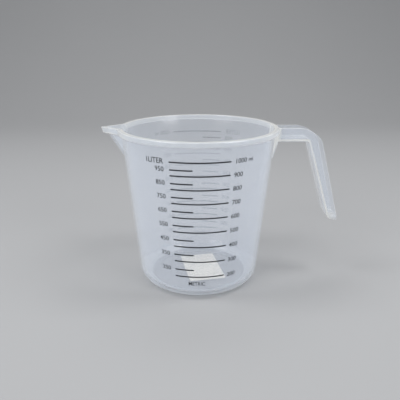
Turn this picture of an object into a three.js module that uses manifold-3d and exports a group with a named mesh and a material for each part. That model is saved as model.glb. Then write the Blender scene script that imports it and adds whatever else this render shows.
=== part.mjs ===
// A one-litre measuring jug in natural polypropylene: a tapered vessel with a V-shaped pouring
// spout, a hook handle with a channel section, a volume scale printed on the front and on the
// back, and a blank paper label under the floor.
// Millimetres, +Z up. The spout points along -X, the handle along +X, the front faces -Y.
// The jug is one moulding. Its sections are separate solids that meet face to face.

import * as THREE from "three";
import { mergeVertices } from "three/addons/utils/BufferGeometryUtils.js";
import { ConvexGeometry } from "three/addons/geometries/ConvexGeometry.js";
import Module from "manifold-3d";

const wasm = await Module();
wasm.setup();

const radians = THREE.MathUtils.degToRad;

// Vessel
const HEIGHT = 125; // standing face to the top of the rim
const RIM_RADIUS = 62.5; // outside of the rim
const RIM_HEIGHT = 4;
const RIM_OVERHANG = 2.85; // rim's outside beyond the wall's outside just below it
const RIM_EDGE = 1; // rounding along the rim's edges
const DRAFT = radians(5.58); // lean of the wall away from the vertical
const WALL = 1.7;
const FLOOR = 2.2;
const BASE_CORNER = 10; // outside rounding between the foot and the wall
const FOOT_HEIGHT = 1.2; // foot ring below the underside of the floor
const FOOT_WIDTH = 2.2; // standing face of the foot ring

// Spout
const SPOUT_PROJECTION = 13.5; // tip beyond the rim's outside
const SPOUT_HALF_ANGLE = radians(40); // each side of the V, seen from above
const SPOUT_KEEL_DROP = 22.4; // foot of the spout below the rim's underside
const LIP_LEAN = 1.4; // lip's tip further out at its top than at its bottom

// Handle
const HANDLE_PROJECTION = 51.5; // tip of the grip beyond the rim's outside
const HANDLE_WIDTH = 17;
const HANDLE_STEP = 0.5; // arm's top below the rim's top
const ARM_DEPTH = 10.4;
const SHOULDER = 20.4; // where the arm's top turns down, beyond the rim's outside
const SHOULDER_SLOPE = radians(32.4); // fall of the bend's outside between its two roundings
const SHOULDER_ROUND = 5.5; // length of line that each rounding of the bend takes
const GRIP_ROUND = 4.8;
const INNER_BEND_RADIUS = 2;
const GRIP_TILT = radians(15); // grip's outside away from the vertical
const GRIP_DROP = 78; // arm's top down to the tip of the grip
const GRIP_DEPTH_TOP = 10.8; // horizontal depth of the grip at the arm's underside
const GRIP_DEPTH_END = 8.6; // and at its slanted end
const GRIP_END_RISE = 7.5; // inner end of the slanted cut above the tip
const GRIP_TIP = 1; // flat at the very tip
const TONGUE = 9.5; // length of the grip's end that is rounded to a tongue, seen from outside
const CHANNEL_WALL = 1.8; // web and cheeks of the channel section
const ROOT_DROP = 12.6; // root's lower end below the arm's underside
const ROOT_SETBACK = 1.3; // root's slanted face behind the arm's end

// Scale
const MARKS = 20; // equal parts of the full volume
const FIRST_MARK = 4; // lowest part that has a line
const HEADSPACE = 5.1; // full level below the rim's top
const PRINT_STRETCH = 1.015; // print is this much taller than the true levels
const PRINT_DROP = 11.4; // and sits this far below them
const HALF_MARK_DROP = 0.7; // half marks sit this far below their level
const LINE_HEIGHT = 0.9;
const LINE_HALF_ANGLE = radians(21.3); // a full line reaches this far each side of the middle
const HALF_MARK_END = radians(-5); // a half mark stops here, seen from its own side
const INK = 0.2;
const INK_GAP = 0.12;

// Label
const LABEL_WIDTH = 30;
const LABEL_LENGTH = 48;
const LABEL_THICKNESS = 0.2;
const LABEL_GAP = 0.1; // glue film under the floor
const LABEL_TURN = radians(10.5);
const LABEL_SIDE = 4.2; // middle of the label off the vessel's axis, across its length
const LABEL_CLEARANCE = 1.8; // nearest corner of the label to the foot ring

const GAP = 0.3; // between curved faces of neighbouring sections
const ROUND_SEGMENTS = 72;
const CORNER_STEPS = 5;
const OVERCUT = 5; // cutters reach this far past what they cut

// Values that follow from the sizes above
const SLOPE = Math.tan(DRAFT);
const RIM_UNDERSIDE = HEIGHT - RIM_HEIGHT;
const FLOOR_TOP = FOOT_HEIGHT + FLOOR;
const ARM_TOP = HEIGHT - HANDLE_STEP;
const ARM_UNDERSIDE = ARM_TOP - ARM_DEPTH;
const TIP_X = RIM_RADIUS + HANDLE_PROJECTION;
const TIP_Z = ARM_TOP - GRIP_DROP;
const BEND_X = RIM_RADIUS + SHOULDER;
const ROOT_FACE = RIM_RADIUS + 2 * GAP; // plane where the root meets the arm

const plastic = () =>
  new THREE.MeshStandardMaterial({
    color: 0xd3d9e3,
    roughness: 0.32,
    metalness: 0,
    transparent: true,
    opacity: 0.45,
  });
const ink = () => new THREE.MeshStandardMaterial({ color: 0x16161a, roughness: 0.5, metalness: 0 });
const paper = () => new THREE.MeshStandardMaterial({ color: 0xebe6dc, roughness: 0.85, metalness: 0 });

// Radii of the tapered wall at a height
function outerRadius(z) {
  return RIM_RADIUS - RIM_OVERHANG - (RIM_UNDERSIDE - z) * SLOPE;
}

function innerRadius(z) {
  return outerRadius(z) - WALL / Math.cos(DRAFT);
}

// Outside face of the straight part of the grip at a height
function gripOutside(z) {
  return TIP_X - (z - TIP_Z) * Math.tan(GRIP_TILT);
}

// A closed geometry as a manifold solid
function solid(geometry) {
  const bare = geometry.clone();
  bare.deleteAttribute("normal");
  bare.deleteAttribute("uv");
  const merged = mergeVertices(bare);
  const index = merged.index.array;
  const triVerts = [];
  for (let i = 0; i < index.length; i += 3) {
    const [a, b, c] = [index[i], index[i + 1], index[i + 2]];
    if (a !== b && b !== c && c !== a) triVerts.push(a, b, c);
  }
  const mesh = new wasm.Mesh({
    numProp: 3,
    vertProperties: merged.attributes.position.array,
    triVerts: new Uint32Array(triVerts),
  });
  mesh.merge();
  return new wasm.Manifold(mesh);
}

// A manifold solid as a geometry
function geometryOf(manifold) {
  const mesh = manifold.getMesh();
  const geometry = new THREE.BufferGeometry();
  geometry.setAttribute("position", new THREE.BufferAttribute(mesh.vertProperties, 3));
  geometry.setIndex(new THREE.BufferAttribute(mesh.triVerts, 1));
  geometry.computeVertexNormals();
  return geometry;
}

function named(name, geometry, material) {
  const mesh = new THREE.Mesh(geometry, material);
  mesh.name = name;
  return mesh;
}

// Points of radius and height turned about the vertical axis
function turned(profile) {
  return new THREE.LatheGeometry(profile, ROUND_SEGMENTS).rotateX(Math.PI / 2);
}

// A round plug about the vertical axis, wider or narrower at its top
function plug(bottomRadius, topRadius, bottom, top) {
  const height = top - bottom;
  return solid(
    new THREE.CylinderGeometry(topRadius, bottomRadius, height, ROUND_SEGMENTS)
      .rotateX(Math.PI / 2)
      .translate(0, 0, bottom + height / 2)
  );
}

function box(x0, x1, y0, y1, z0, z1) {
  return solid(
    new THREE.BoxGeometry(x1 - x0, y1 - y0, z1 - z0).translate((x0 + x1) / 2, (y0 + y1) / 2, (z0 + z1) / 2)
  );
}

// A side view in X and Z given a width along Y, centred on Y = 0
function sideExtrusion(shape, width) {
  return solid(
    new THREE.ExtrudeGeometry(shape, { depth: width, bevelEnabled: false, curveSegments: 6 })
      .rotateX(Math.PI / 2)
      .translate(0, width / 2, 0)
  );
}

// Rounding between a level face and the wall: its centre, so that it touches both
function corner(level, radius, radiusAt) {
  const z = level + radius;
  return { r: radiusAt(z) - radius / Math.cos(DRAFT), z, radius };
}

function cornerPoints(round, from, to) {
  return Array.from({ length: CORNER_STEPS + 1 }, (_, i) => {
    const angle = from + ((to - from) * i) / CORNER_STEPS;
    return new THREE.Vector2(
      round.r + round.radius * Math.cos(angle),
      round.z + round.radius * Math.sin(angle)
    );
  });
}

const outsideCorner = corner(0, BASE_CORNER, outerRadius);
const insideCorner = corner(FLOOR_TOP, BASE_CORNER - WALL, innerRadius);
// Where the outside corner passes the top of the floor, and the two sections meet
const sectionAngle = Math.asin((FLOOR_TOP - outsideCorner.z) / outsideCorner.radius);

const FOOT_INSIDE = outsideCorner.r - FOOT_WIDTH;

function baseFloor() {
  return turned([
    new THREE.Vector2(0, FOOT_HEIGHT),
    new THREE.Vector2(FOOT_INSIDE, FOOT_HEIGHT),
    new THREE.Vector2(FOOT_INSIDE, 0),
    ...cornerPoints(outsideCorner, -Math.PI / 2, sectionAngle),
    new THREE.Vector2(0, FLOOR_TOP),
  ]);
}

function vesselWall() {
  const profile = [
    ...cornerPoints(outsideCorner, sectionAngle, -DRAFT),
    new THREE.Vector2(outerRadius(RIM_UNDERSIDE), RIM_UNDERSIDE),
    new THREE.Vector2(innerRadius(RIM_UNDERSIDE), RIM_UNDERSIDE),
    ...cornerPoints(insideCorner, -DRAFT, -Math.PI / 2),
  ];
  profile.push(profile[0].clone());
  return geometryOf(solid(turned(profile)).subtract(spoutHollow()));
}

function rimBand() {
  const section = new THREE.Shape();
  const right = RIM_RADIUS - RIM_EDGE;
  section.moveTo(innerRadius(RIM_UNDERSIDE), RIM_UNDERSIDE);
  section.lineTo(right, RIM_UNDERSIDE);
  section.absarc(right, RIM_UNDERSIDE + RIM_EDGE, RIM_EDGE, -Math.PI / 2, 0);
  section.absarc(right, HEIGHT - RIM_EDGE, RIM_EDGE, 0, Math.PI / 2);
  section.lineTo(innerRadius(HEIGHT) + RIM_EDGE / 2, HEIGHT);
  section.lineTo(innerRadius(HEIGHT), HEIGHT - RIM_EDGE / 2);
  section.closePath();
  return geometryOf(solid(turned(section.getPoints(2))).subtract(spoutHollow()));
}

// The V of the spout: its keel runs from the wall up and out, and each level section is a V
// of the same angle. A shift along +X moves both sides inward.
const KEEL_FOOT_Z = RIM_UNDERSIDE - SPOUT_KEEL_DROP;
const KEEL_FOOT_X = -outerRadius(KEEL_FOOT_Z);
const KEEL_TOP_X = -(RIM_RADIUS + SPOUT_PROJECTION) + RIM_OVERHANG / Math.sin(SPOUT_HALF_ANGLE);
const keelRun = new THREE.Vector3(KEEL_FOOT_X - KEEL_TOP_X, 0, -SPOUT_KEEL_DROP);
const spoutSide = new THREE.Vector3(Math.cos(SPOUT_HALF_ANGLE), Math.sin(SPOUT_HALF_ANGLE), 0);
const sideNormal = keelRun.clone().cross(spoutSide).normalize();
const HOLLOW_SHIFT = WALL / Math.abs(sideNormal.x);

function keelX(z) {
  return KEEL_TOP_X + ((RIM_UNDERSIDE - z) / SPOUT_KEEL_DROP) * (KEEL_FOOT_X - KEEL_TOP_X);
}

function levelV(tipX, z) {
  const backX = -RIM_RADIUS / 2;
  const halfWidth = (backX - tipX) * Math.tan(SPOUT_HALF_ANGLE);
  return [
    new THREE.Vector3(tipX, 0, z),
    new THREE.Vector3(backX, halfWidth, z),
    new THREE.Vector3(backX, -halfWidth, z),
  ];
}

function spoutWedge(shift, top) {
  const foot = KEEL_FOOT_Z - OVERCUT;
  return solid(new ConvexGeometry([...levelV(keelX(top) + shift, top), ...levelV(keelX(foot) + shift, foot)]));
}

function spoutHollow() {
  return spoutWedge(HOLLOW_SHIFT, HEIGHT + OVERCUT);
}

// The vessel's outside with the gap that its neighbours keep
function vesselClearance() {
  const body = plug(outerRadius(0) + GAP, outerRadius(RIM_UNDERSIDE) + GAP, 0, RIM_UNDERSIDE);
  const rim = plug(RIM_RADIUS + GAP, RIM_RADIUS + GAP, RIM_UNDERSIDE - GAP, HEIGHT + OVERCUT);
  return body.add(rim);
}

function pouringSpout() {
  const body = plug(outerRadius(0) + GAP, outerRadius(RIM_UNDERSIDE) + GAP, 0, RIM_UNDERSIDE);
  return geometryOf(spoutWedge(0, RIM_UNDERSIDE).subtract(spoutHollow()).subtract(body));
}

function spoutLip() {
  const tip = -(RIM_RADIUS + SPOUT_PROJECTION);
  const block = solid(new ConvexGeometry([...levelV(tip, HEIGHT), ...levelV(tip + LIP_LEAN, RIM_UNDERSIDE)]));
  const rim = plug(RIM_RADIUS + GAP, RIM_RADIUS + GAP, 0, HEIGHT + OVERCUT);
  return geometryOf(block.subtract(spoutHollow()).subtract(rim));
}

// Inner face of the grip, as a line from the arm's underside to the slanted end
const GRIP_INNER_TOP = new THREE.Vector2(gripOutside(ARM_UNDERSIDE) - GRIP_DEPTH_TOP, ARM_UNDERSIDE);
const GRIP_INNER_END = new THREE.Vector2(
  gripOutside(TIP_Z + GRIP_END_RISE) - GRIP_DEPTH_END,
  TIP_Z + GRIP_END_RISE
);

function handleOutline() {
  const shape = new THREE.Shape();
  const along = GRIP_INNER_END.clone().sub(GRIP_INNER_TOP).setLength(INNER_BEND_RADIUS);
  shape.moveTo(ROOT_FACE, ARM_UNDERSIDE);
  shape.lineTo(GRIP_INNER_TOP.x - INNER_BEND_RADIUS, ARM_UNDERSIDE);
  shape.quadraticCurveTo(
    GRIP_INNER_TOP.x,
    GRIP_INNER_TOP.y,
    GRIP_INNER_TOP.x + along.x,
    GRIP_INNER_TOP.y + along.y
  );
  shape.lineTo(GRIP_INNER_END.x, GRIP_INNER_END.y);
  const sag = new THREE.Vector2(GRIP_INNER_END.x + GRIP_DEPTH_END / 3, TIP_Z + GRIP_END_RISE / 4);
  shape.quadraticCurveTo(sag.x, sag.y, TIP_X - GRIP_TIP, TIP_Z);
  shape.lineTo(TIP_X, TIP_Z);
  // The outside of the bend: two roundings with a straight slope between them
  const slope = new THREE.Vector2(Math.cos(SHOULDER_SLOPE), -Math.sin(SHOULDER_SLOPE));
  const down = new THREE.Vector2(Math.sin(GRIP_TILT), -Math.cos(GRIP_TILT));
  const shoulder = new THREE.Vector2(BEND_X, ARM_TOP);
  const fall = (gripOutside(ARM_TOP) - BEND_X) / (slope.x + slope.y * Math.tan(GRIP_TILT));
  const elbow = shoulder.clone().addScaledVector(slope, fall);
  const below = elbow.clone().addScaledVector(down, GRIP_ROUND);
  const above = elbow.clone().addScaledVector(slope, -GRIP_ROUND);
  const after = shoulder.clone().addScaledVector(slope, SHOULDER_ROUND);
  shape.lineTo(below.x, below.y);
  shape.quadraticCurveTo(elbow.x, elbow.y, above.x, above.y);
  shape.lineTo(after.x, after.y);
  shape.quadraticCurveTo(shoulder.x, shoulder.y, shoulder.x - SHOULDER_ROUND, shoulder.y);
  shape.lineTo(ROOT_FACE, ARM_TOP);
  shape.closePath();
  return shape;
}

// The channel is open at the top of the arm and along the outside of the grip
function channelOutline() {
  const shape = new THREE.Shape();
  const floor = ARM_UNDERSIDE + CHANNEL_WALL;
  const inward = CHANNEL_WALL / Math.cos(GRIP_TILT);
  shape.moveTo(ROOT_FACE + CHANNEL_WALL, floor);
  shape.lineTo(GRIP_INNER_TOP.x + inward, floor);
  shape.lineTo(GRIP_INNER_END.x + inward, GRIP_INNER_END.y + CHANNEL_WALL);
  shape.lineTo(TIP_X + OVERCUT, TIP_Z + 2 * CHANNEL_WALL);
  shape.lineTo(TIP_X + OVERCUT, ARM_TOP + OVERCUT);
  shape.lineTo(ROOT_FACE + CHANNEL_WALL, ARM_TOP + OVERCUT);
  shape.closePath();
  return shape;
}

// What keeps the grip's end a tongue: an outline in Y and Z with a half ellipse at its end
function tongue(width, tipZ) {
  const shape = new THREE.Shape();
  shape.moveTo(-width / 2, ARM_TOP + OVERCUT);
  shape.lineTo(-width / 2, tipZ + TONGUE);
  shape.absellipse(0, tipZ + TONGUE, width / 2, TONGUE, Math.PI, 2 * Math.PI);
  shape.lineTo(width / 2, ARM_TOP + OVERCUT);
  shape.closePath();
  const intoPlace = new THREE.Matrix4().makeBasis(
    new THREE.Vector3(0, 1, 0),
    new THREE.Vector3(0, 0, 1),
    new THREE.Vector3(1, 0, 0)
  );
  const depth = TIP_X + 2 * OVERCUT;
  return solid(
    new THREE.ExtrudeGeometry(shape, { depth, bevelEnabled: false, curveSegments: 12 }).applyMatrix4(intoPlace)
  );
}

function handleBody() {
  const inside = HANDLE_WIDTH - 2 * CHANNEL_WALL;
  const outside = sideExtrusion(handleOutline(), HANDLE_WIDTH).intersect(tongue(HANDLE_WIDTH, TIP_Z));
  const channel = sideExtrusion(channelOutline(), inside).intersect(tongue(inside, TIP_Z + CHANNEL_WALL));
  return outside.subtract(channel);
}

function handlePart(fromX, toX) {
  const slice = box(fromX, toX, -HANDLE_WIDTH, HANDLE_WIDTH, TIP_Z - OVERCUT, HEIGHT + OVERCUT);
  return geometryOf(handleBody().intersect(slice));
}

function handleRoot() {
  const foot = ARM_UNDERSIDE - ROOT_DROP;
  const inside = RIM_RADIUS / 2;
  const shape = new THREE.Shape();
  shape.moveTo(inside, foot);
  shape.lineTo(outerRadius(foot) + GAP, foot);
  shape.lineTo(ROOT_FACE - ROOT_SETBACK, ARM_UNDERSIDE);
  shape.lineTo(ROOT_FACE, ARM_UNDERSIDE);
  shape.lineTo(ROOT_FACE, RIM_UNDERSIDE - GAP);
  shape.lineTo(inside, RIM_UNDERSIDE - GAP);
  shape.closePath();
  return geometryOf(sideExtrusion(shape, HANDLE_WIDTH).subtract(vesselClearance()));
}

// Height of the liquid that fills the tapered vessel to a share of its full volume
function levelFor(share) {
  const floorRadius = innerRadius(FLOOR_TOP);
  const fullRadius = innerRadius(HEIGHT - HEADSPACE);
  const cube = floorRadius ** 3 + share * (fullRadius ** 3 - floorRadius ** 3);
  return FLOOR_TOP + (Math.cbrt(cube) - floorRadius) / SLOPE;
}

// A printed line bent round the wall, from one angle to another seen from its own side
function printedLine(z, from, to) {
  const facing = -Math.PI / 2;
  const radius = outerRadius(z + LINE_HEIGHT / 2) + INK_GAP;
  const shape = new THREE.Shape();
  shape.absarc(0, 0, radius + INK, facing + from, facing + to);
  shape.absarc(0, 0, radius, facing + to, facing + from, true);
  shape.closePath();
  return new THREE.ExtrudeGeometry(shape, {
    depth: LINE_HEIGHT,
    bevelEnabled: false,
    curveSegments: 4,
  }).translate(0, 0, z - LINE_HEIGHT / 2);
}

function scale(side, turn) {
  const group = new THREE.Group();
  group.rotation.z = turn;
  for (let mark = FIRST_MARK; mark <= MARKS; mark++) {
    const full = mark % 2 === 0;
    const z = levelFor(mark / MARKS) * PRINT_STRETCH - PRINT_DROP - (full ? 0 : HALF_MARK_DROP);
    const line = printedLine(z, -LINE_HALF_ANGLE, full ? LINE_HALF_ANGLE : HALF_MARK_END);
    group.add(named(`${side}_line_${String(mark * 50).padStart(4, "0")}`, line, ink()));
  }
  return group;
}

// The label lies inside the foot ring, one corner close to the ring
function baseLabel() {
  const corner = FOOT_INSIDE - LABEL_CLEARANCE;
  const along = Math.sqrt(corner ** 2 - (LABEL_SIDE + LABEL_WIDTH / 2) ** 2) - LABEL_LENGTH / 2;
  return new THREE.BoxGeometry(LABEL_WIDTH, LABEL_LENGTH, LABEL_THICKNESS)
    .translate(LABEL_SIDE, along, FOOT_HEIGHT - LABEL_GAP - LABEL_THICKNESS / 2)
    .rotateZ(LABEL_TURN);
}

const jug = new THREE.Group();
jug.position.x = (SPOUT_PROJECTION - HANDLE_PROJECTION) / 2; // origin under the middle of the length
jug.add(
  named("base_floor", baseFloor(), plastic()),
  named("vessel_wall", vesselWall(), plastic()),
  named("rim_band", rimBand(), plastic()),
  named("pouring_spout", pouringSpout(), plastic()),
  named("spout_lip", spoutLip(), plastic()),
  named("handle_root", handleRoot(), plastic()),
  named("handle_arm", handlePart(ROOT_FACE, BEND_X), plastic()),
  named("handle_grip", handlePart(BEND_X, TIP_X + OVERCUT), plastic()),
  named("base_label", baseLabel(), paper()),
  scale("front", 0),
  scale("back", Math.PI)
);

export default jug;
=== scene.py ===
"""A one-litre measuring jug in natural polypropylene: one moulding with a pouring spout and a
hook handle, a printed volume scale on its front and back, and a blank paper label underneath."""

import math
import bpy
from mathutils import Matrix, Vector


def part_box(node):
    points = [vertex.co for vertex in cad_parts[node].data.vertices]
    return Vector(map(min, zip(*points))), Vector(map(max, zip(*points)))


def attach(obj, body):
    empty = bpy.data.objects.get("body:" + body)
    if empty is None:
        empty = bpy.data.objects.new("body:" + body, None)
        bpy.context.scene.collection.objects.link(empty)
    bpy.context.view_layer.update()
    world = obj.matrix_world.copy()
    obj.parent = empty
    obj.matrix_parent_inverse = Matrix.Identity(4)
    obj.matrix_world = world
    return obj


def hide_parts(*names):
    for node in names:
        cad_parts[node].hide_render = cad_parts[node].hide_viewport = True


bl_info = {
    "name": "Measuring Jug",
    "version": (1, 0, 0),
    "blender": (4, 5, 0),
    "location": "3D View > Sidebar > Jug",
    "description": "Builds a one-litre measuring jug around its packed frame",
    "category": "Add Mesh",
}

import bmesh
import bpy
from bpy.props import FloatProperty, FloatVectorProperty, PointerProperty
from mathutils import Matrix, Vector
from mathutils.bvhtree import BVHTree

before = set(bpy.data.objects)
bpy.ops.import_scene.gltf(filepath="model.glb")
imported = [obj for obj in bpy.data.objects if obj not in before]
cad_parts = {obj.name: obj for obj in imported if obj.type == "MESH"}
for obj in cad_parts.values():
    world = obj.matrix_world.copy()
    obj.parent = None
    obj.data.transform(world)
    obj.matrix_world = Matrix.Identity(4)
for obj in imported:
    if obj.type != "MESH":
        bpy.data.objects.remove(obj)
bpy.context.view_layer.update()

MM = 0.001
MOULDING = (
    "base_floor",
    "vessel_wall",
    "rim_band",
    "pouring_spout",
    "spout_lip",
    "handle_root",
    "handle_arm",
    "handle_grip",
)

# Places that the frame gives
FLOOR_LOW, FLOOR_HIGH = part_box("base_floor")
_, WALL_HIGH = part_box("vessel_wall")
RIM_LOW, RIM_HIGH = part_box("rim_band")
LIP_LOW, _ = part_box("spout_lip")
SPOUT_LOW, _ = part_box("pouring_spout")
ROOT_LOW, ROOT_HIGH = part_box("handle_root")
ARM_LOW, ARM_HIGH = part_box("handle_arm")
GRIP_LOW, GRIP_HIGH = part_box("handle_grip")
LABEL_LOW, LABEL_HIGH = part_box("base_label")
AXIS_X = (FLOOR_LOW.x + FLOOR_HIGH.x) / 2
HEIGHT = RIM_HIGH.z
RIM_UNDER = RIM_LOW.z
RIM_RADIUS = RIM_HIGH.y
WALL_RADIUS = WALL_HIGH.y  # outside of the wall just under the rim
FLOOR_TOP = FLOOR_HIGH.z
SPOUT_TIP = AXIS_X - LIP_LOW.x  # reach of the spout's tip from the vessel's axis
SPOUT_FOOT_Z = SPOUT_LOW.z
ROOT_FACE = ROOT_HIGH.x - AXIS_X
ROOT_FOOT_Z = ROOT_LOW.z
ARM_TOP = ARM_HIGH.z
ARM_UNDER = ARM_LOW.z
HANDLE_HALF_WIDTH = ARM_HIGH.y
GRIP_TIP_X = GRIP_HIGH.x - AXIS_X
GRIP_TIP_Z = GRIP_LOW.z

TURN_STEPS = 192  # facets round the vessel
WALL_STEP = 10 * MM  # height of the rows of faces up the wall
ARM_STEP = 4 * MM  # length of the faces along the handle's arm
ARM_CUTS = 6
OVERCUT = 5 * MM  # cutters reach this far past what they cut
FLOOR_FLAT = 38 * MM  # radius of the flat part of the floor, whose plastic is clearer
FLOOR_CLEARNESS = 0.3  # share of its true thickness by which the flat floor clouds
DEEPEST = 20 * MM  # thickness beyond which plastic looks no cloudier
SHARP = math.radians(32)  # edges sharper than this stay crisp
CLOSE = 1e-6  # metres, below which two places are the same
TOUCH = 0.3 * MM  # small overlap that lets an exact boolean join two parts
MARKS = range(200, 1001, 50)  # millilitres of the printed lines
HALF_MARK_END = math.radians(-5.0)  # a half mark stops here
STROKE = 0.006  # how much the figures are thickened, as a share of their size

CAMERA_PLACE = (-26.3 * MM, -363.0 * MM, 188.8 * MM)
CAMERA_FALL = math.radians(18.74)  # below the level
CAMERA_TURN = math.radians(-1.35)
LAMPS = (  # name, place, aim, size in metres, watts
    ("Left window", (-0.95, -1.0, 0.75), (0, 0, 0.06), (0.8, 1.0), 11),
    ("Right window", (0.95, -0.9, 0.6), (0, 0, 0.06), (0.6, 0.9), 7),
    ("Overhead left", (-0.68, -0.1, 1.1), (0, 0, 0.05), (0.32, 0.5), 5),
    ("Overhead right", (0.6, -0.1, 1.1), (0, 0, 0.05), (0.3, 0.5), 5),
    ("Overhead back", (0.0, 0.45, 1.2), (0, 0, 0.05), (0.9, 0.4), 4),
)
WORLD_COLOUR = (0.95, 0.97, 1.0, 1)
WORLD_STRENGTH = 0.35


def length(name, description, default, precision=4):
    return FloatProperty(
        name=name, description=description, default=default, unit="LENGTH", precision=precision
    )


def angle(name, description, degrees):
    return FloatProperty(
        name=name, description=description, default=math.radians(degrees), subtype="ANGLE"
    )


def number(name, description, default, least, most=1e6):
    return FloatProperty(name=name, description=description, default=default, min=least, max=most)


def colour(name, description, default):
    return FloatVectorProperty(
        name=name, description=description, default=default, subtype="COLOR", size=3, min=0, max=1
    )


class JugMoulding(bpy.types.PropertyGroup):
    draft: angle("Draft", "Lean of the wall away from the vertical", 5.58)
    wall: length("Wall", "Thickness of the wall", 1.7 * MM)
    foot_height: length("Foot height", "Foot ring below the underside of the floor", 1.2 * MM)
    foot_width: length("Foot width", "Standing face of the foot ring", 2.2 * MM)
    base_corner: length("Base corner", "Outside rounding between the foot and the wall", 10 * MM)
    rim_edge: length("Rim edge", "Rounding along the edges of the rim", 1.1 * MM)


class JugSpout(bpy.types.PropertyGroup):
    half_angle: angle("Half angle", "Each side of the V, seen from above", 40)
    keel_drop: length("Keel drop", "Foot of the spout below the underside of the rim", 22.4 * MM)
    lip_lean: length(
        "Lip lean", "Tip of the lip further out at its top than at its bottom", 1.4 * MM
    )
    lip_fall: length(
        "Lip fall", "Underside of the lip runs down to the keel by this much", 1.9 * MM
    )
    keel_round: length("Keel rounding", "Rounding along the outside of the keel", 2.2 * MM)


class JugHandle(bpy.types.PropertyGroup):
    shoulder: length(
        "Shoulder", "Where the arm's top turns down, beyond the outside of the rim", 20.4 * MM
    )
    shoulder_slope: angle(
        "Shoulder slope", "Fall of the bend's outside between its two roundings", 32.4
    )
    tongue: length(
        "Tongue", "Length of the grip's end that is rounded, seen from outside", 9.5 * MM
    )
    inner_bend: length("Inner bend", "Radius of the bend on the finger side", 2.6 * MM)
    tilt: angle("Grip tilt", "Outside of the grip away from the vertical", 15)
    depth_top: length("Depth at the top", "Depth of the grip just under the arm", 10.8 * MM)
    depth_end: length("Depth at the end", "Depth of the grip at its slanted end", 8.6 * MM)
    end_rise: length("End rise", "Finger side of the slanted end above the tip", 7.5 * MM)
    channel_wall: length("Channel wall", "Thickness of the web and the cheeks", 1.8 * MM)
    finger_round: length(
        "Finger rounding", "Rounding along the finger side's long edges", 3.2 * MM
    )
    root_setback: length("Root setback", "Root's face behind the end of the arm", 1.3 * MM)


class JugPrint(bpy.types.PropertyGroup):
    figure_height: length("Figure height", "Height of the numbers beside the lines", 3.5 * MM)
    film: length("Ink film", "Thickness of the ink", 0.06 * MM, precision=5)
    line_reach: angle("Line reach", "A full line reaches this far each side of the middle", 21.3)
    left_margin: angle("Left margin", "Where the left numbers end", -25.4)
    right_margin: angle("Right margin", "Where the right numbers start", 24.2)
    back_cover: number("Back print", "How much the thinner ink on the back hides", 0.3, 0, 1)
    line_width: length("Line width", "Width of the printed lines", 1.0 * MM)
    ink_colour: colour("Ink", "Colour of the printing ink", (0.006, 0.0065, 0.009))


class JugPlastic(bpy.types.PropertyGroup):
    veil_colour: colour(
        "Milky colour", "Colour that the cloudy plastic scatters", (0.80, 0.86, 0.95)
    )
    deep_colour: colour(
        "Deep colour", "Colour of the plastic where it is thick", (0.90, 0.90, 0.87)
    )
    cloudiness: number("Cloudiness", "How much a millimetre of plastic hides", 0.26, 0)
    bending: number("Index of refraction", "How much the plastic bends light", 1.49, 1)
    roughness: number("Roughness", "Softness of the reflections", 0.17, 0, 1)


class JugLabel(bpy.types.PropertyGroup):
    width: length("Width", "Short side of the label", 30 * MM)
    length: length("Length", "Long side of the label", 48 * MM)
    turn: angle("Turn", "Turn of the label about the vertical", 10.5)
    paper_colour: colour("Paper", "Colour of the paper", (0.95, 0.89, 0.77))


class JugStage(bpy.types.PropertyGroup):
    floor_colour: colour("Floor", "Colour of the floor and the backdrop", (0.36, 0.363, 0.37))
    light_level: number("Light level", "Strength of the lamps against their plain level", 1.0, 0)


# ---------------------------------------------------------------- mesh helpers


def outer_radius(z):
    """Outside radius of the tapered wall at a height."""
    return WALL_RADIUS - (RIM_UNDER - z) * math.tan(bpy.context.scene.jug_moulding.draft)


def inner_radius(z, thickness=None):
    moulding = bpy.context.scene.jug_moulding
    if thickness is None:
        thickness = moulding.wall
    return outer_radius(z) - thickness / math.cos(moulding.draft)


def grip_outside(z):
    """Outside face of the straight part of the grip at a height, from the vessel's axis."""
    return GRIP_TIP_X - (z - GRIP_TIP_Z) * math.tan(bpy.context.scene.jug_handle.tilt)


def side_face(bm, points):
    """A flat face in the X and Z plane."""
    return bm.faces.new([bm.verts.new((x, 0, z)) for x, z in points])


def round_vertices(bm, verts, radius, segments):
    """Rounds corners of a flat outline to a radius."""
    for vert in verts:
        edges = vert.link_edges
        a, b = (e.other_vert(vert).co - vert.co for e in edges)
        offset = radius / math.tan(a.angle(b) / 2)
        bmesh.ops.bevel(
            bm,
            geom=[vert],
            offset=offset,
            offset_type="OFFSET",
            segments=segments,
            profile=0.5,
            affect="VERTICES",
            material=-1,
        )


def outlined(points, rounds, steps):
    """A flat face from corner points, with the listed corners rounded: {index: radius}."""
    bm = bmesh.new()
    side_face(bm, points)
    bm.verts.ensure_lookup_table()
    corners = [(bm.verts[i], radius) for i, radius in rounds.items()]
    for vert, radius in corners:
        round_vertices(bm, [vert], radius, steps)
    return bm


def cut_across(bm, place, direction):
    """Adds edges where a plane passes, so that a change of thickness stays crisp."""
    bmesh.ops.bisect_plane(
        bm, geom=bm.verts[:] + bm.edges[:] + bm.faces[:], plane_co=place, plane_no=direction
    )


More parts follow.
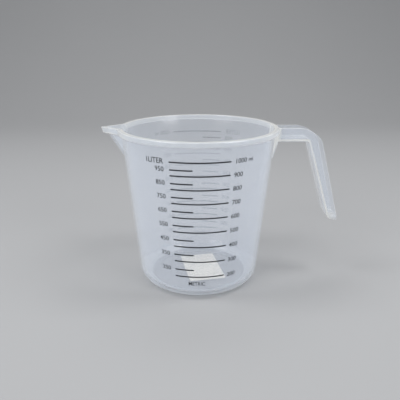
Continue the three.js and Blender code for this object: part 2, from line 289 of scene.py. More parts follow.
def turned(points, rounds, steps=8, levels=(), reaches=()):
    """A closed solid of an outline turned about the vessel's axis."""
    bm = outlined(points, rounds, steps)
    for level in levels:
        cut_across(bm, (0, 0, level), (0, 0, 1))
    for reach in reaches:
        cut_across(bm, (reach, 0, 0), (1, 0, 0))
    bmesh.ops.dissolve_edges(
        bm, edges=[e for e in bm.edges if len(e.link_faces) == 2], use_verts=False
    )
    axis = [e for e in bm.edges if all(v.co.x < CLOSE / 10 for v in e.verts)]
    bmesh.ops.delete(bm, geom=list(bm.faces), context="FACES_ONLY")
    bmesh.ops.delete(bm, geom=axis, context="EDGES")
    bmesh.ops.spin(
        bm,
        geom=bm.verts[:] + bm.edges[:],
        cent=(0, 0, 0),
        axis=(0, 0, 1),
        angle=2 * math.pi,
        steps=TURN_STEPS,
        use_merge=True,
    )
    bmesh.ops.remove_doubles(bm, verts=bm.verts, dist=1e-6)
    bmesh.ops.recalc_face_normals(bm, faces=bm.faces)
    return bm


def hull(points):
    """A convex solid round some points."""
    bm = bmesh.new()
    for point in points:
        bm.verts.new(point)
    made = bmesh.ops.convex_hull(bm, input=bm.verts[:])
    left_over = made["geom_interior"] + made["geom_unused"]
    spare = [g for g in left_over if isinstance(g, bmesh.types.BMVert)]
    if spare:
        bmesh.ops.delete(bm, geom=list(set(spare)), context="VERTS")
    bmesh.ops.dissolve_limit(bm, angle_limit=math.radians(0.5), verts=bm.verts, edges=bm.edges)
    bmesh.ops.recalc_face_normals(bm, faces=bm.faces)
    return bm


def round_edges(bm, edges, radius, segments=4):
    """Rounds edges of a solid to a radius."""
    bmesh.ops.bevel(
        bm,
        geom=list(edges),
        offset=radius,
        offset_type="OFFSET",
        segments=segments,
        profile=0.5,
        affect="EDGES",
        material=-1,
        clamp_overlap=True,
    )


def pushed_out(bm, offset):
    """Gives flat work a thickness along an offset."""
    made = bmesh.ops.extrude_face_region(bm, geom=bm.faces[:])
    moved = [g for g in made["geom"] if isinstance(g, bmesh.types.BMVert)]
    bmesh.ops.translate(bm, verts=moved, vec=offset)
    bmesh.ops.recalc_face_normals(bm, faces=bm.faces)


def drawn_out(bm, width):
    """Gives a flat face in the X and Z plane a width along Y, centred on Y = 0."""
    bmesh.ops.translate(bm, verts=bm.verts, vec=(0, -width / 2, 0))
    pushed_out(bm, (0, width, 0))


def as_object(bm, name):
    """Turns a bmesh into an object of the scene, and frees it."""
    mesh = bpy.data.meshes.new(name)
    bm.to_mesh(mesh)
    bm.free()
    obj = bpy.data.objects.new(name, mesh)
    bpy.context.scene.collection.objects.link(obj)
    return obj


def combine(target, tool, operation):
    """Joins or cuts with an exact boolean, and takes the tool away."""
    modifier = target.modifiers.new("combine", "BOOLEAN")
    modifier.operation = operation
    modifier.solver = "EXACT"
    modifier.object = tool
    depsgraph = bpy.context.evaluated_depsgraph_get()
    made = bpy.data.meshes.new_from_object(target.evaluated_get(depsgraph))
    target.modifiers.clear()
    old = target.data
    target.data = made
    bpy.data.meshes.remove(old)
    old_tool = tool.data
    bpy.data.objects.remove(tool)
    bpy.data.meshes.remove(old_tool)
    if not made.polygons:
        raise RuntimeError(f"nothing left of {target.name}")
    return target


def finished(obj):
    """Tidies a joined mesh, puts it on the vessel's axis and shades it smooth between edges."""
    bm = bmesh.new()
    bm.from_mesh(obj.data)
    bmesh.ops.remove_doubles(bm, verts=bm.verts, dist=2e-6)
    bmesh.ops.dissolve_degenerate(bm, edges=bm.edges, dist=1e-6)
    bmesh.ops.triangulate(bm, faces=[f for f in bm.faces if len(f.verts) > 4])
    bmesh.ops.recalc_face_normals(bm, faces=bm.faces)
    open_edges = [e for e in bm.edges if not e.is_manifold]
    if open_edges:
        print(f"{obj.name}: {len(open_edges)} open or doubled edges")
    bmesh.ops.translate(bm, verts=bm.verts, vec=(AXIS_X, 0, 0))
    for face in bm.faces:
        face.smooth = True
    for edge in bm.edges:
        if edge.is_manifold:
            edge.smooth = edge.calc_face_angle(0) < SHARP
    bm.to_mesh(obj.data)
    bm.free()
    return obj


def measure_thickness(obj):
    """Stores the plastic's thickness behind each corner of each face, in millimetres. It is less
    than the true one on the flat floor, and where one corner of a large face is much the deepest."""
    mesh = obj.data
    tree = BVHTree.FromPolygons(
        [v.co for v in mesh.vertices], [p.vertices for p in mesh.polygons], epsilon=0.0
    )
    layer = mesh.attributes.new("thickness", "FLOAT", "CORNER")
    inset = 0.03
    lift = 0.02 * MM
    large = 25 * MM * MM

    def depth_at(start, normal):
        start = start - normal * lift
        hit = tree.ray_cast(start, -normal, DEEPEST)
        return hit[3] + lift if hit[0] is not None else DEEPEST

    for polygon in mesh.polygons:
        normal = polygon.normal
        centre = polygon.center
        flat = (centre - Vector((AXIS_X, 0, centre.z))).length
        is_floor = centre.z < FLOOR_TOP + 10 * CLOSE and flat < FLOOR_FLAT
        share = FLOOR_CLEARNESS if is_floor else 1.0
        # one deep corner of a large face would cloud the whole of it
        cap = 1.2 * depth_at(centre, normal) if polygon.area > large else DEEPEST
        for loop in polygon.loop_indices:
            corner = mesh.vertices[mesh.loops[loop].vertex_index].co
            depth = min(depth_at(corner.lerp(centre, inset), normal), cap)
            layer.data[loop].value = share * depth / MM


# ---------------------------------------------------------------- material helpers


class Tree:
    """Adds nodes to a material in few words."""

    def __init__(self, name):
        self.material = bpy.data.materials.new(name)
        self.material.use_nodes = True
        self.nodes = self.material.node_tree.nodes
        self.links = self.material.node_tree.links
        self.nodes.clear()
        self.output = self.nodes.new("ShaderNodeOutputMaterial")
        self.coords = self.nodes.new("ShaderNodeTexCoord").outputs["Object"]

    def add(self, kind, values=None, **settings):
        node = self.nodes.new(kind)
        for key, value in settings.items():
            setattr(node, key, value)
        for key, value in (values or {}).items():
            socket = node.inputs[key]
            if isinstance(value, bpy.types.NodeSocket):
                self.links.new(value, socket)
            else:
                socket.default_value = value
        return node

    def math(self, operation, a, b=None, clamp=False):
        values = {0: a}
        if b is not None:
            values[1] = b
        return self.add("ShaderNodeMath", values, operation=operation, use_clamp=clamp).outputs[0]

    def noise(self, scale, detail=3.0, roughness=0.55, stretch=None):
        vector = self.coords
        if stretch is not None:
            vector = self.add("ShaderNodeMapping", {"Vector": vector, "Scale": stretch}).outputs[0]
        return self.add(
            "ShaderNodeTexNoise",
            {"Vector": vector, "Scale": scale, "Detail": detail, "Roughness": roughness},
        ).outputs["Fac"]

    def ranged(self, value, low, high, to_low, to_high):
        return self.add(
            "ShaderNodeMapRange",
            {
                "Value": value,
                "From Min": low,
                "From Max": high,
                "To Min": to_low,
                "To Max": to_high,
            },
        ).outputs[0]

    def blend(self, share, a, b):
        """A colour between two colours."""
        return self.add(
            "ShaderNodeMix",
            {0: share, 6: (*a, 1), 7: (*b, 1)},
            data_type="RGBA",
            blend_type="MIX",
        ).outputs[2]

    def bump(self, height, strength, distance, normal=None):
        values = {"Height": height, "Strength": strength, "Distance": distance}
        if normal is not None:
            values["Normal"] = normal
        return self.add("ShaderNodeBump", values).outputs[0]

    def show(self, shader):
        self.links.new(shader, self.output.inputs["Surface"])
        return self.material


def cloudy_plastic():
    """Natural polypropylene: milky where it is thick or seen along its wall, clear where thin."""
    look = bpy.context.scene.jug_plastic
    t = Tree("Natural polypropylene")
    thickness = t.add("ShaderNodeAttribute", attribute_name="thickness").outputs["Fac"]
    facing = t.add("ShaderNodeLayerWeight", {"Blend": 0.5}).outputs["Facing"]
    # light bends on its way in, so the path through a wall grows by a third at the most
    upright = t.math("SUBTRACT", 1.0, facing)
    sine_squared = t.math("SUBTRACT", 1.0, t.math("MULTIPLY", upright, upright))
    cosine = t.math(
        "SQRT", t.math("SUBTRACT", 1.0, t.math("DIVIDE", sine_squared, look.bending**2))
    )
    clouds = t.ranged(t.noise(38.0, 4.0), 0.3, 0.7, 0.9, 1.1)
    streaks = t.ranged(t.noise(90.0, 3.0, stretch=(1, 1, 0.12)), 0.3, 0.7, 0.93, 1.07)
    hiding = t.math("MULTIPLY", t.math("MULTIPLY", clouds, streaks), look.cloudiness / 2)
    # a wall seen nearly along its face piles up its own curve in one line of sight
    piled = t.math("ADD", t.math("MULTIPLY", t.math("POWER", facing, 4.0), 1.3), 1.0)
    path = t.math("MULTIPLY", t.math("DIVIDE", thickness, cosine), piled)
    depth = t.math("MULTIPLY", path, hiding)
    clear = t.math("EXPONENT", t.math("MULTIPLY", depth, -1.0))
    alpha = t.math("SUBTRACT", 1.0, clear, clamp=True)

    ripple = t.bump(t.noise(26.0, 2.0, stretch=(1, 1, 0.4)), 0.25, 0.0012)
    skin = t.bump(t.noise(420.0, 2.0), 0.12, 0.0001, ripple)
    tint = t.blend(t.ranged(alpha, 0.25, 0.8, 0.0, 1.0), look.veil_colour, look.deep_colour)
    front = t.add("ShaderNodeBsdfDiffuse", {"Color": tint, "Normal": skin}).outputs[0]
    through = t.add("ShaderNodeBsdfTranslucent", {"Color": tint, "Normal": skin}).outputs[0]
    milk = t.add("ShaderNodeMixShader", {0: 0.45, 1: front, 2: through}).outputs[0]
    open_plastic = t.add("ShaderNodeBsdfTransparent").outputs[0]
    body = t.add("ShaderNodeMixShader", {0: alpha, 1: open_plastic, 2: milk}).outputs[0]
    roughness = t.ranged(t.noise(60.0), 0.3, 0.7, look.roughness * 0.85, look.roughness * 1.15)
    gloss = t.add(
        "ShaderNodeBsdfGlossy", {"Color": (1, 1, 1, 1), "Roughness": roughness, "Normal": skin}
    ).outputs[0]
    # mirror share, the same from both sides of a surface
    straight_on = ((look.bending - 1) / (look.bending + 1)) ** 2
    grazing = t.math("POWER", facing, 5.0)
    share = t.math("ADD", t.math("MULTIPLY", grazing, 1 - straight_on), straight_on)
    t.show(t.add("ShaderNodeMixShader", {0: share, 1: body, 2: gloss}).outputs[0])
    return t.material


def printing_ink(name, cover):
    """Ink film. A cover below 1 lets some of the plastic show through it."""
    look = bpy.context.scene.jug_print
    t = Tree(name)
    worn = t.noise(900.0, 2.0)
    shade = t.ranged(worn, 0.3, 0.75, 0.0, 1.0)
    pale = tuple(3.0 * c for c in look.ink_colour)
    tint = t.blend(shade, look.ink_colour, pale)
    film = t.add(
        "ShaderNodeBsdfPrincipled",
        {
            "Base Color": tint,
            "Roughness": t.ranged(t.noise(300.0), 0.3, 0.7, 0.38, 0.55),
            "Normal": t.bump(worn, 0.2, 0.00005),
        },
    ).outputs[0]
    if cover < 1:
        gap = t.add("ShaderNodeBsdfTransparent").outputs[0]
        film = t.add("ShaderNodeMixShader", {0: cover, 1: gap, 2: film}).outputs[0]
    return t.show(film)


def label_paper():
    """Uncoated paper with a faint grain."""
    look = bpy.context.scene.jug_label
    t = Tree("Label paper")
    fibres = t.noise(700.0, 4.0, 0.65, stretch=(1, 0.35, 1))
    mottle = t.noise(90.0, 3.0)
    dull = tuple(0.9 * c for c in look.paper_colour)
    grain = t.ranged(fibres, 0.3, 0.7, 0.0, 1.0)
    patches = t.ranged(mottle, 0.3, 0.7, 0.4, 1.0)
    tint = t.blend(t.math("MULTIPLY", grain, patches), look.paper_colour, dull)
    t.show(
        t.add(
            "ShaderNodeBsdfPrincipled",
            {
                "Base Color": tint,
                "Roughness": 0.82,
                "Normal": t.bump(fibres, 0.3, 0.00006),
            },
        ).outputs[0]
    )
    return t.material


def plain_matte(name, light, grain):
    """Matte paint with a barely visible grain."""
    t = Tree(name)
    dull = tuple(0.965 * c for c in light)
    tint = t.blend(t.noise(grain, 3.0), light, dull)
    paint = t.add("ShaderNodeBsdfPrincipled", {"Base Color": tint, "Roughness": 0.9})
    return t.show(paint.outputs[0])


# ---------------------------------------------------------------- moulding


def vessel():
    """The tapered vessel with its foot ring and rim, a closed outline turned once round."""
    m = bpy.context.scene.jug_moulding
    lean = math.tan(m.draft)
    foot_radius = outer_radius(0)
    corner_centre = outer_radius(m.base_corner) - m.base_corner / math.cos(m.draft)
    foot_inside = corner_centre - m.foot_width
    points = [
        (0, m.foot_height),
        (foot_inside, m.foot_height),
        (foot_inside, 0),
        (foot_radius, 0),
        (WALL_RADIUS, RIM_UNDER),
        (RIM_RADIUS, RIM_UNDER),
        (RIM_RADIUS, HEIGHT),
        (inner_radius(HEIGHT), HEIGHT),
        (foot_radius + FLOOR_TOP * lean - m.wall / math.cos(m.draft), FLOOR_TOP),
        (0, FLOOR_TOP),
    ]
    rounds = {
        1: 0.5 * MM,
        2: 0.5 * MM,
        3: m.base_corner,
        4: 0.6 * MM,
        5: m.rim_edge,
        6: m.rim_edge,
        7: 0.6 * MM,
        8: m.base_corner - m.wall,
    }
    step = 0.25 * MM
    return turned(
        points,
        rounds,
        levels=(
            SPOUT_FOOT_Z,
            ROOT_FOOT_Z - step,
            ROOT_FOOT_Z + step,
            RIM_UNDER - step,
            RIM_UNDER + step,
            HEIGHT - m.rim_edge,
            *(FLOOR_TOP + i * WALL_STEP for i in range(1, 12)),
        ),
        reaches=(foot_inside - step, corner_centre, WALL_RADIUS - m.wall - step),
    )


def vessel_interior():
    """The room inside, reaching half way into the wall, to clear what other parts leave there."""
    m = bpy.context.scene.jug_moulding
    half = m.wall / 2
    floor = FLOOR_TOP - half
    points = [
        (0, floor),
        (inner_radius(floor, half), floor),
        (inner_radius(HEIGHT + OVERCUT, half), HEIGHT + OVERCUT),
        (0, HEIGHT + OVERCUT),
    ]
    return turned(points, {1: m.base_corner - half})


def level_v(tip, z, back):
    """Three corners of the spout's V at a height: its tip and its two open ends."""
    half = (tip - back) * math.tan(bpy.context.scene.jug_spout.half_angle)
    return [(-tip, 0, z), (-back, half, z), (-back, -half, z)]


def keel_reach(z):
    """Reach of the keel from the vessel's axis at a height."""
    s = bpy.context.scene.jug_spout
    foot_z = RIM_UNDER - s.keel_drop
    foot = outer_radius(foot_z)
    top = SPOUT_TIP - (RIM_RADIUS - WALL_RADIUS) / math.sin(s.half_angle)
    return top + (RIM_UNDER - z) / s.keel_drop * (foot - top)


def keel_edges(bm, least_rise):
    """Edges of a spout wedge that run up the keel."""
    found = []
    for edge in bm.edges:
        a, b = (v.co for v in edge.verts)
        if abs(a.y) < CLOSE and abs(b.y) < CLOSE and abs(a.z - b.z) > least_rise:
            found.append(edge)
    return sorted(found, key=lambda e: min(v.co.x for v in e.verts))[:1]


def spout_wedge(shift, low, high, rounding):
    """The spout's outside between two heights, or its hollow when it is shifted inward."""
    back = RIM_RADIUS / 2
    bm = hull(
        level_v(keel_reach(low) - shift, low, back) + level_v(keel_reach(high) - shift, high, back)
    )
    round_edges(bm, keel_edges(bm, (high - low) / 2), rounding, 6)
    return bm


def hollow_shift():
    """Distance along X that gives the spout's slanted sides the wall's thickness."""
    s = bpy.context.scene.jug_spout
    low, high = RIM_UNDER - s.keel_drop, RIM_UNDER
    run = Vector((keel_reach(low) - keel_reach(high), 0, high - low))
    side = Vector((math.cos(s.half_angle), math.sin(s.half_angle), 0))
    return bpy.context.scene.jug_moulding.wall / abs(run.cross(side).normalized().x)


def spout_lip():
    """The rim's band carried on round the spout."""
    s = bpy.context.scene.jug_spout
    edge = bpy.context.scene.jug_moulding.rim_edge
    back = RIM_RADIUS / 2
    low = RIM_UNDER - s.lip_fall
    bm = hull(
        level_v(keel_reach(low) + 0.2 * MM, low, back)
        + level_v(SPOUT_TIP - s.lip_lean, RIM_UNDER - TOUCH, back)
        + level_v(SPOUT_TIP, HEIGHT, back)
    )
    round_edges(bm, keel_edges(bm, (HEIGHT - RIM_UNDER) / 2), 1.4 * MM, 4)
    level = [
        e
        for e in bm.edges
        if min(v.co.z for v in e.verts) > HEIGHT - CLOSE
        and not all(abs(v.co.x + back) < 1e-5 for v in e.verts)
        and len(e.link_faces) == 2
        and e.calc_face_angle(0) > math.radians(40)
    ]
    round_edges(bm, level, edge * 0.8, 4)
    return bm


def handle_points():
    """Corners of the handle's side view and their roundings, from the wall round to the wall."""
    h = bpy.context.scene.jug_handle
    end_z = GRIP_TIP_Z + h.end_rise
    inner_top = (grip_outside(ARM_UNDER) - h.depth_top, ARM_UNDER)
    inner_end = (grip_outside(end_z) - h.depth_end, end_z)
    cosine, sine, lean = math.cos(h.shoulder_slope), math.sin(h.shoulder_slope), math.tan(h.tilt)
    shoulder_x = RIM_RADIUS + h.shoulder
    fall = (grip_outside(ARM_TOP) - shoulder_x) / (cosine - sine * lean)
    corners = [
        ((WALL_RADIUS, ARM_UNDER), 0),
        (inner_top, h.inner_bend),
        (inner_end, 3.2 * MM),
        ((inner_end[0] + 3.4 * MM, GRIP_TIP_Z + 3.0 * MM), 4.0 * MM),
        ((GRIP_TIP_X - 3.4 * MM, GRIP_TIP_Z + 1.9 * MM), 3.0 * MM),
        ((GRIP_TIP_X - 1.5 * MM, GRIP_TIP_Z), 0.7 * MM),
        ((grip_outside(GRIP_TIP_Z + 1.6 * MM), GRIP_TIP_Z + 1.6 * MM), 0.9 * MM),
        ((shoulder_x + fall * cosine, ARM_TOP - fall * sine), 12.3 * MM),
        ((shoulder_x, ARM_TOP), 18.9 * MM),
        ((WALL_RADIUS, ARM_TOP), 0),
    ]
    return corners, inner_top, inner_end


def flat_key(a, b):
    """Where an edge of a side view lies, the same for every Y."""
    return round((a.x + b.x) / 2, 7), round((a.z + b.z) / 2, 7)


def handle_body():
    """The handle's outside, with its finger side rounded."""
    h = bpy.context.scene.jug_handle
    corners, _, _ = handle_points()
    rounds = {i: radius for i, (_, radius) in enumerate(corners) if radius}
    bm = outlined([point for point, _ in corners], rounds, 10)
    # the edges from the arm's underside to the tip are the finger side
    face = bm.faces[:][0]
    ring = [v.co.copy() for v in face.verts]
    first = Vector((WALL_RADIUS, 0, ARM_UNDER))
    start = min(range(len(ring)), key=lambda i: (ring[i] - first).length)
    ring = ring[start:] + ring[:start]
    if abs(ring[1].z - ARM_UNDER) > CLOSE:
        ring = ring[:1] + ring[:0:-1]
    finger = set()
    for a, b in zip(ring, ring[1:]):
        if min(a.z, b.z) < GRIP_TIP_Z + 1e-5:
            break
        finger.add(flat_key(a, b))
    drawn_out(bm, 2 * HANDLE_HALF_WIDTH)
    along = [e for e in bm.edges if abs(e.verts[0].co.y - e.verts[1].co.y) < CLOSE]
    inside = [e for e in along if flat_key(e.verts[0].co, e.verts[1].co) in finger]
    round_edges(bm, inside, h.finger_round, 6)
    return bm


def handle_channel():
    """The trough of the U section, open along the arm's top and the grip's outside."""
    h = bpy.context.scene.jug_handle
    _, inner_top, inner_end = handle_points()
    floor = ARM_UNDER + h.channel_wall
    lean = (inner_end[0] - inner_top[0]) / (inner_top[1] - inner_end[1])
    inward = h.channel_wall * (math.hypot(1, lean) - lean)
    start = RIM_RADIUS - TOUCH
    points = [
        (start, floor),
        (inner_top[0] + inward, floor),
        (inner_end[0] + inward, inner_end[1] + h.channel_wall),
        (GRIP_TIP_X + OVERCUT, GRIP_TIP_Z + 2.2 * h.channel_wall),
        (GRIP_TIP_X + OVERCUT, ARM_TOP + OVERCUT),
        (start, ARM_TOP + OVERCUT),
    ]
    bm = outlined(points, {1: h.inner_bend + 1.2 * MM, 2: 2.2 * MM}, 8)
    drawn_out(bm, 2 * (HANDLE_HALF_WIDTH - h.channel_wall))
    bottom = []
    for edge in bm.edges:
        a, b = (v.co for v in edge.verts)
        level = abs(a.y - b.y) < CLOSE
        if level and max(a.x, b.x) < GRIP_TIP_X and max(a.z, b.z) < ARM_TOP - 3 * MM:
            bottom.append(edge)
    round_edges(bm, bottom, h.finger_round - h.channel_wall, 4)
    return bm


def mark_web(obj):
    """Edges on the cheeks where the web behind them ends, and across the arm, so that the
    thickness is measured in short faces there."""
    h = bpy.context.scene.jug_handle
    _, inner_top, inner_end = handle_points()
    bm = bmesh.new()
    bm.from_mesh(obj.data)
    run = Vector((inner_end[0] - inner_top[0], 0, inner_end[1] - inner_top[1])).normalized()
    across = Vector((-run.z, 0, run.x))
    for extra in (-0.1 * MM, 0.15 * MM):
        cut_across(bm, (0, 0, ARM_UNDER + h.channel_wall + extra), (0, 0, 1))
        start = Vector((inner_top[0], 0, inner_top[1])) + across * (h.channel_wall + extra)
        cut_across(bm, start, across)
    for i in range(ARM_CUTS):
        cut_across(bm, (RIM_RADIUS + (i + 0.4) * ARM_STEP, 0, 0), (1, 0, 0))
    bm.to_mesh(obj.data)
    bm.free()


def tongue(half_width, tip_z):
    """What keeps the grip's end a rounded tongue, seen from the handle's outside."""
    length = bpy.context.scene.jug_handle.tongue
    ring = bmesh.new()
    bmesh.ops.create_circle(ring, segments=56, radius=1)
    bmesh.ops.scale(ring, verts=ring.verts, vec=(half_width, length, 1))
    across = [(v.co.x, v.co.y + tip_z + length) for v in ring.verts]
    ring.free()
    across += [(side * half_width, ARM_TOP + OVERCUT) for side in (-1, 1)]
    return hull([(x, y, z) for x in (0, GRIP_TIP_X + 2 * OVERCUT) for y, z in across])


def handle_root():
    """The block that carries the arm, from the wall up to the underside of the rim."""
    h = bpy.context.scene.jug_handle
    inside = outer_radius(ROOT_FOOT_Z) - 1.2 * MM
    face = ROOT_FACE - h.root_setback
    points = [
        (inside, ROOT_FOOT_Z),
        (outer_radius(ROOT_FOOT_Z) + TOUCH, ROOT_FOOT_Z),
        (face, ARM_UNDER),
        (face, RIM_UNDER + 0.5 * MM),
        (inside, RIM_UNDER + 0.5 * MM),
    ]
    bm = outlined(points, {}, 1)
    drawn_out(bm, 2 * HANDLE_HALF_WIDTH)
    slanted = []
    for edge in bm.edges:
        a, b = (v.co for v in edge.verts)
        if abs(a.y - b.y) < CLOSE and min(a.x, b.x) > inside + 0.1 * MM:
            slanted.append(edge)
    round_edges(bm, slanted, h.finger_round * 0.6, 4)
    return bm


class MESH_OT_jug_moulding(bpy.types.Operator):
    """Builds the jug's plastic as one moulding"""

    bl_idname = "mesh.jug_moulding"
    bl_label = "Moulding"

    def execute(self, context):
        scene = context.scene
        spout = scene.jug_spout
        shell = as_object(vessel(), "jug_moulding")
        shift = hollow_shift()
        keel_low = RIM_UNDER - spout.keel_drop - OVERCUT

        handle = as_object(handle_body(), "handle")
        combine(handle, as_object(tongue(HANDLE_HALF_WIDTH, GRIP_TIP_Z), "tongue"), "INTERSECT")
        channel = as_object(handle_channel(), "channel")
        thin = scene.jug_handle.channel_wall
        hollow_end = tongue(HANDLE_HALF_WIDTH - thin, GRIP_TIP_Z + thin)
        combine(channel, as_object(hollow_end, "hollow_end"), "INTERSECT")
        combine(handle, channel, "DIFFERENCE")
        mark_web(handle)
        combine(handle, as_object(handle_root(), "root"), "UNION")

        wedge = as_object(spout_wedge(0, keel_low, RIM_UNDER + 1 * MM, spout.keel_round), "wedge")
        combine(wedge, as_object(spout_lip(), "lip"), "UNION")
        combine(wedge, handle, "UNION")
        combine(wedge, as_object(vessel_interior(), "interior"), "DIFFERENCE")
        combine(shell, wedge, "UNION")
        hollow = spout_wedge(shift, keel_low, HEIGHT + OVERCUT, 0.7 * MM)
        combine(shell, as_object(hollow, "hollow"), "DIFFERENCE")

        finished(shell)
        measure_thickness(shell)
        shell.data.materials.clear()
        shell.data.materials.append(cloudy_plastic())
        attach(shell, "root")
        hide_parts(*MOULDING)
        return {"FINISHED"}


# ---------------------------------------------------------------- printed scale


def wrapped(bm, height):
    """Bends flat work, drawn in the X and Z plane at Y = 0 with depth along -Y, round the wall.
    X is arc length from the middle of the print and Z the height above the table."""
    for vert in bm.verts:
        x, depth, z = vert.co.x, -vert.co.y, vert.co.z
        radius = outer_radius(z) + depth
        place = x / outer_radius(height) - math.pi / 2
        vert.co = Vector((radius * math.cos(place), radius * math.sin(place), z))


def ink_strip(z, from_angle, to_angle, thick, film):
    """A printed line with rounded ends, as flat work."""
    radius = outer_radius(z)
    x0, x1 = from_angle * radius, to_angle * radius
    bm = bmesh.new()
    corners = [
        (x0, z - thick / 2),
        (x1, z - thick / 2),
        (x1, z + thick / 2),
        (x0, z + thick / 2),
    ]
    side_face(bm, corners)
    for vert in list(bm.verts):
        round_vertices(bm, [vert], thick * 0.35, 3)
    steps = 28
    for i in range(1, steps):
        cut_across(bm, (x0 + (x1 - x0) * i / steps, 0, 0), (1, 0, 0))
    pushed_out(bm, (0, -film, 0))
    return bm


def flat_text(words, height, align, narrow):
    """Text as flat work in the X and Z plane: its mesh and its width."""
    curve = bpy.data.curves.new("figures", "FONT")
    curve.body = words
    curve.size = 1
    curve.resolution_u = 4
    curve.offset = STROKE
    holder = bpy.data.objects.new("figures", curve)
    bpy.context.scene.collection.objects.link(holder)
    depsgraph = bpy.context.evaluated_depsgraph_get()
    mesh = bpy.data.meshes.new_from_object(holder.evaluated_get(depsgraph))
    bm = bmesh.new()
    bm.from_mesh(mesh)
    bpy.data.meshes.remove(mesh)
    bpy.data.objects.remove(holder)
    bpy.data.curves.remove(curve)
    bmesh.ops.remove_doubles(bm, verts=bm.verts, dist=1e-5)
    low = min(v.co.y for v in bm.verts)
    high = max(v.co.y for v in bm.verts)
    left = min(v.co.x for v in bm.verts)
    right = max(v.co.x for v in bm.verts)
    scale = height / (high - low)
    anchor = {"LEFT": left, "RIGHT": right, "CENTER": (left + right) / 2}[align]
    middle = (low + high) / 2
    for vert in bm.verts:
        x = (vert.co.x - anchor) * scale * narrow
        vert.co = Vector((x, 0, (vert.co.y - middle) * scale))
    return bm, (right - left) * scale * narrow


def text_on_wall(words, height, z, place, align, film, narrow=1.0):
    """Text printed on the wall at a height and an angle: its mesh and its width."""
    bm, width = flat_text(words, height, align, narrow)
    cell = 2.5 * MM
    radius = outer_radius(z)
    bmesh.ops.translate(bm, verts=bm.verts, vec=(place * radius, 0, z))
    xs = [v.co.x for v in bm.verts]
    low, high = min(xs), max(xs)
    count = max(1, int((high - low) / cell))
    for i in range(1, count):
        cut_across(bm, (low + (high - low) * i / count, 0, 0), (1, 0, 0))
    pushed_out(bm, (0, -film, 0))
    wrapped(bm, z)
    return bm, width


def poured(target, bm):
    """Adds one bmesh to another."""
    mesh = bpy.data.meshes.new("part")
    bm.to_mesh(mesh)
    bm.free()
    target.from_mesh(mesh)
    bpy.data.meshes.remove(mesh)


def line_height(node):
    """Middle height of a printed line in the frame."""
    low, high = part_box(node)
    return (low.z + high.z) / 2


def printed_scale(side, turn):
    """Lines, numbers and words of one side's scale."""
    p = bpy.context.scene.jug_print
    lift = 0.02 * MM
    tall = p.figure_height
    left, right = p.left_margin, p.right_margin
    names = [f"{side}_line_{ml:04d}" for ml in MARKS]
    bm = bmesh.new()

    def write(words, height, z, place, align, narrow=1.0):
        part, width = text_on_wall(words, height, z, place, align, p.film, narrow)
        poured(bm, part)
        return width

    for ml, name in zip(MARKS, names):
        z = line_height(name)
        full = ml % 100 == 0
        end = p.line_reach if full else HALF_MARK_END
        strip = ink_strip(z, -p.line_reach, end, p.line_width, p.film)
        wrapped(strip, z)
        poured(bm, strip)
        if not full:
            write(str(ml), tall, z + 0.2 * MM, left, "RIGHT")
        elif ml < MARKS[-1]:
            write(str(ml), tall, z - 0.1 * MM, right, "LEFT")
        else:
            start = right + 0.9 * MM / outer_radius(z)
            width = write(str(ml), tall, z + 0.1 * MM, start, "LEFT")
            after = start + (width + 1.9 * MM) / outer_radius(z)
            write("ml", tall * 0.86, z + 0.1 * MM, after, "LEFT")
            write("1LITER", tall * 1.1, z + 0.5 * MM, left, "RIGHT", 0.92)
    low_z = line_height(names[0]) - 5.9 * MM
    write("METRIC", tall * 0.94, low_z, math.radians(-2.6), "CENTER", 0.8)
    for vert in bm.verts:
        flat = Vector((vert.co.x, vert.co.y, 0))
        vert.co += flat.normalized() * lift
    bmesh.ops.rotate(bm, verts=bm.verts, cent=(0, 0, 0), matrix=Matrix.Rotation(turn, 3, "Z"))
    bmesh.ops.translate(bm, verts=bm.verts, vec=(AXIS_X, 0, 0))
    bmesh.ops.recalc_face_normals(bm, faces=bm.faces)
    return as_object(bm, f"{side}_scale"), names


class MESH_OT_jug_scale(bpy.types.Operator):
    """Prints the volume scale on the front and the back of the jug"""

    bl_idname = "mesh.jug_scale"
    bl_label = "Printed scale"

    def execute(self, context):
        strong = printing_ink("Front print", 1.0)
        faint = printing_ink("Back print", context.scene.jug_print.back_cover)
        for side, turn, ink in (("front", 0, strong), ("back", math.pi, faint)):
            scale, names = printed_scale(side, turn)
            scale.data.materials.append(ink)
            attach(scale, "root")
            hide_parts(*names)
        return {"FINISHED"}


# ---------------------------------------------------------------- label


class MESH_OT_jug_label(bpy.types.Operator):
    """Lays the blank paper label under the floor"""

    bl_idname = "mesh.jug_label"
    bl_label = "Label"

    def execute(self, context):
        size = context.scene.jug_label
        bm = bmesh.new()
        bmesh.ops.create_grid(bm, x_segments=1, y_segments=1, size=0.5)
        bmesh.ops.scale(bm, verts=bm.verts, vec=(size.width, size.length, 1))
        corners = list(bm.verts)
        for vert in corners:
            round_vertices(bm, [vert], 1.6 * MM, 5)
        pushed_out(bm, (0, 0, LABEL_HIGH.z - LABEL_LOW.z))
        bmesh.ops.rotate(
            bm, verts=bm.verts, cent=(0, 0, 0), matrix=Matrix.Rotation(size.turn, 3, "Z")
        )
        middle = (LABEL_LOW + LABEL_HIGH) / 2
        bmesh.ops.translate(bm, verts=bm.verts, vec=(middle.x, middle.y, LABEL_LOW.z))
        bmesh.ops.recalc_face_normals(bm, faces=bm.faces)
        label = as_object(bm, "paper_label")
        label.data.materials.append(label_paper())
        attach(label, "root")
        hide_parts("base_label")
        return {"FINISHED"}


# ---------------------------------------------------------------- stage


def soft_lamp(name, place, target, size, power):
    """A rectangular lamp that looks at a target."""
    data = bpy.data.lights.new(name, "AREA")
    data.shape = "RECTANGLE"
    data.size, data.size_y = size
    data.energy = power
    lamp = bpy.data.objects.new(name, data)
    lamp.location = place
    lamp.rotation_euler = (Vector(target) - Vector(place)).to_track_quat("-Z", "Y").to_euler()
    bpy.context.scene.collection.objects.link(lamp)
    return lamp


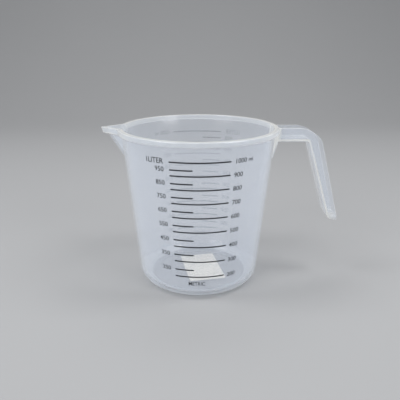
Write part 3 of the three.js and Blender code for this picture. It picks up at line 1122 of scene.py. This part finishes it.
class SCENE_OT_jug_stage(bpy.types.Operator):
    """Sets the floor, the backdrop, the lamps and the camera"""

    bl_idname = "scene.jug_stage"
    bl_label = "Stage"

    def execute(self, context):
        scene = context.scene
        look = scene.jug_stage
        bm = bmesh.new()
        front, back, rise, half = -3.0, 1.6, 3.2, 4.0
        sweep = [(front, 0), (back, 0), (back, rise)]
        verts = [bm.verts.new((-half, y, z)) for y, z in sweep]
        for a, b in zip(verts, verts[1:]):
            bm.edges.new((a, b))
        bmesh.ops.bevel(
            bm,
            geom=[verts[1]],
            offset=0.9,
            offset_type="OFFSET",
            segments=16,
            profile=0.5,
            affect="VERTICES",
            material=-1,
        )
        made = bmesh.ops.extrude_edge_only(bm, edges=bm.edges[:])
        moved = [g for g in made["geom"] if isinstance(g, bmesh.types.BMVert)]
        bmesh.ops.translate(bm, verts=moved, vec=(2 * half, 0, 0))
        bmesh.ops.recalc_face_normals(bm, faces=bm.faces)
        for face in bm.faces:
            face.smooth = True
        if sum(f.normal.z for f in bm.faces) < 0:
            bmesh.ops.reverse_faces(bm, faces=bm.faces)
        floor = as_object(bm, "studio_sweep")
        floor.data.materials.append(plain_matte("Studio floor", look.floor_colour, 3.0))

        world = bpy.data.worlds.new("Studio")
        scene.world = world
        world.use_nodes = True
        sky = world.node_tree.nodes["Background"]
        sky.inputs["Color"].default_value = WORLD_COLOUR
        sky.inputs["Strength"].default_value = WORLD_STRENGTH
        for name, place, target, size, power in LAMPS:
            soft_lamp(name, place, target, size, power * look.light_level)

        data = bpy.data.cameras.new("Camera")
        data.lens = 42.2
        data.sensor_width = 36
        data.shift_y = -0.00375
        data.clip_start = 0.01
        camera = bpy.data.objects.new("Camera", data)
        camera.location = CAMERA_PLACE
        camera.rotation_euler = (math.pi / 2 - CAMERA_FALL, 0, CAMERA_TURN)
        scene.collection.objects.link(camera)
        scene.camera = camera
        scene.view_settings.view_transform = "Standard"
        scene.cycles.transparent_max_bounces = 24
        return {"FINISHED"}


# ---------------------------------------------------------------- panel


class VIEW3D_PT_jug(bpy.types.Panel):
    """Sizes, colours and steps of the measuring jug"""

    bl_idname = "VIEW3D_PT_jug"
    bl_label = "Measuring jug"
    bl_space_type = "VIEW_3D"
    bl_region_type = "UI"
    bl_category = "Jug"

    def draw(self, context):
        layout = self.layout
        scene = context.scene
        for group, step in (
            ("jug_moulding", "mesh.jug_moulding"),
            ("jug_spout", None),
            ("jug_handle", None),
            ("jug_plastic", None),
            ("jug_print", "mesh.jug_scale"),
            ("jug_label", "mesh.jug_label"),
            ("jug_stage", "scene.jug_stage"),
        ):
            box = layout.box()
            values = getattr(scene, group)
            for name in values.__annotations__:
                box.prop(values, name)
            if step:
                box.operator(step)


GROUPS = {
    "jug_moulding": JugMoulding,
    "jug_spout": JugSpout,
    "jug_handle": JugHandle,
    "jug_print": JugPrint,
    "jug_plastic": JugPlastic,
    "jug_label": JugLabel,
    "jug_stage": JugStage,
}
CLASSES = (
    *GROUPS.values(),
    MESH_OT_jug_moulding,
    MESH_OT_jug_scale,
    MESH_OT_jug_label,
    SCENE_OT_jug_stage,
    VIEW3D_PT_jug,
)


def register():
    for cls in CLASSES:
        bpy.utils.register_class(cls)
    for name, group in GROUPS.items():
        setattr(bpy.types.Scene, name, PointerProperty(type=group))


def unregister():
    for name in GROUPS:
        delattr(bpy.types.Scene, name)
    for cls in reversed(CLASSES):
        bpy.utils.unregister_class(cls)


def main():
    register()
    bpy.ops.mesh.jug_moulding()
    bpy.ops.mesh.jug_scale()
    bpy.ops.mesh.jug_label()
    bpy.ops.scene.jug_stage()


if __name__ == "__main__":
    main()
